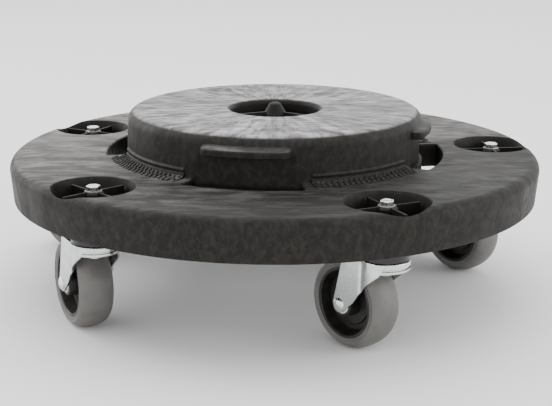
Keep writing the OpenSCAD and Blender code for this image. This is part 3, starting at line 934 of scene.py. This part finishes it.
# %% Metal finishes
def metal(name, colour, low, high, scale):
    """A metal whose gloss wanders between two roughnesses."""
    material, tree, shader, place = finish_base(name, Metallic=1.0)
    marks = use_group(tree, rub, Vector=place.outputs["Object"], Scale=scale, Low=low, High=high)
    dark = tuple(0.82 * c for c in colour[:3]) + (1,)
    tree.links.new(mixed(tree, marks.outputs["Mask"], colour, dark), shader.inputs["Base Color"])
    tree.links.new(marks.outputs["Roughness"], shader.inputs["Roughness"])
    skin = use_group(tree, grain, Vector=place.outputs["Object"], Scale=500.0)
    bumped(tree, shader, skin.outputs["Height"], 0.12, 0.0002)
    return material


zinc_sheet = metal("zinc_sheet_finish", (0.68, 0.72, 0.70, 1), 0.16, 0.36, 90.0)
zinc_bolt = metal("zinc_bolt_finish", (0.80, 0.82, 0.82, 1), 0.16, 0.34, 260.0)
dull_zinc = metal("dull_zinc_finish", (0.20, 0.20, 0.19, 1), 0.40, 0.60, 200.0)
ball_steel = metal("ball_steel_finish", (0.72, 0.72, 0.72, 1), 0.08, 0.22, 300.0)
print("metal finishes ready")


# %% Plastic and rubber finishes
def moulded(name, dark, light, low, high, scale):
    """A plain moulded material between two tones and two roughnesses."""
    material, tree, shader, place = finish_base(name, IOR=1.48)
    marks = use_group(tree, rub, Vector=place.outputs["Object"], Scale=scale, Low=low, High=high)
    tree.links.new(mixed(tree, marks.outputs["Mask"], dark, light), shader.inputs["Base Color"])
    tree.links.new(marks.outputs["Roughness"], shader.inputs["Roughness"])
    skin = use_group(tree, grain, Vector=place.outputs["Object"], Scale=800.0)
    bumped(tree, shader, skin.outputs["Height"], 0.15, 0.0003)
    return material


tyre_tones = ((0.088, 0.083, 0.078, 1), (0.122, 0.116, 0.109, 1))
core_tones = ((0.006, 0.0055, 0.005, 1), (0.018, 0.016, 0.0145, 1))
cap_tones = ((0.003, 0.003, 0.003, 1), (0.010, 0.010, 0.011, 1))
nylon_tones = ((0.62, 0.60, 0.54, 1), (0.74, 0.72, 0.66, 1))
tyre_rubber = moulded("tyre_rubber", *tyre_tones, 0.42, 0.58, 55.0)
core_plastic = moulded("core_plastic", *core_tones, 0.30, 0.50, 70.0)
cap_coat = moulded("cap_coat", *cap_tones, 0.20, 0.34, 80.0)
nylon = moulded("natural_nylon", *nylon_tones, 0.35, 0.50, 90.0)
print("plastic and rubber finishes ready")

# %% Finishes on their pieces
new_finish = ((forks, zinc_sheet), (axles, zinc_bolt), ([bolts], zinc_bolt), (tyres, tyre_rubber),
              (cores, core_plastic))
for pieces, material in new_finish:
    for piece in pieces:
        repainted(piece, material)
cad_finish = {
    "mounting_washers": dull_zinc,
    "mounting_nuts": zinc_bolt,
    "top_cap": cap_coat,
    "kingpin": zinc_sheet,
    "upper_balls": ball_steel,
    "lower_balls": ball_steel,
    "axle_nut": zinc_bolt,
    "axle_sleeve": zinc_bolt,
    "wheel_bush": nylon,
}
dressed = 0
for name, node in nodes.items():
    plain = name.rsplit("_", 1)[0] if name[-1].isdigit() else name
    if plain in cad_finish:
        repainted(node, cad_finish[plain])
        dressed += 1
print(dressed, "carried-over nodes dressed")

# %% [markdown]
# ## Floor, light and the end
# A wide floor catches the shadow, as on a product page. Most of the light comes from the white
# surroundings. Three soft lamps, from above, from behind on the left and from the right, shape it.

# %% The floor and the surroundings
FLOOR_HALF = 4000
SURROUNDINGS = 1.9
floor_bm = bmesh.new()
bmesh.ops.create_grid(floor_bm, x_segments=1, y_segments=1, size=FLOOR_HALF)
floor = to_object("floor", floor_bm)
world = bpy.data.worlds.new("studio")
bpy.context.scene.world = world
world.use_nodes = True
backdrop = world.node_tree.nodes["Background"]
backdrop.inputs["Color"].default_value = (1, 1, 1, 1)
backdrop.inputs["Strength"].default_value = SURROUNDINGS
print("floor of", 2 * FLOOR_HALF * MM, "m, surroundings at", SURROUNDINGS)


# %% The lamps
def softbox(name, place, size, power):
    """A square lamp that points at the middle of the dolly. Places and sizes are in metres."""
    data = bpy.data.lights.new(name, "AREA")
    data.shape = "SQUARE"
    data.size = size
    data.energy = power
    light = bpy.data.objects.new(name, data)
    light.location = place
    light.rotation_euler = (Vector((0, 0, 0.1)) - Vector(place)).to_track_quat("-Z", "Y").to_euler()
    bpy.context.scene.collection.objects.link(light)


softbox("overhead", (0.0, 0.5, 2.2), 2.0, 26)
softbox("back_left", (-1.7, 0.9, 1.0), 1.2, 16)
softbox("right", (1.8, -0.5, 0.7), 1.0, 12)
print("three lamps ready")
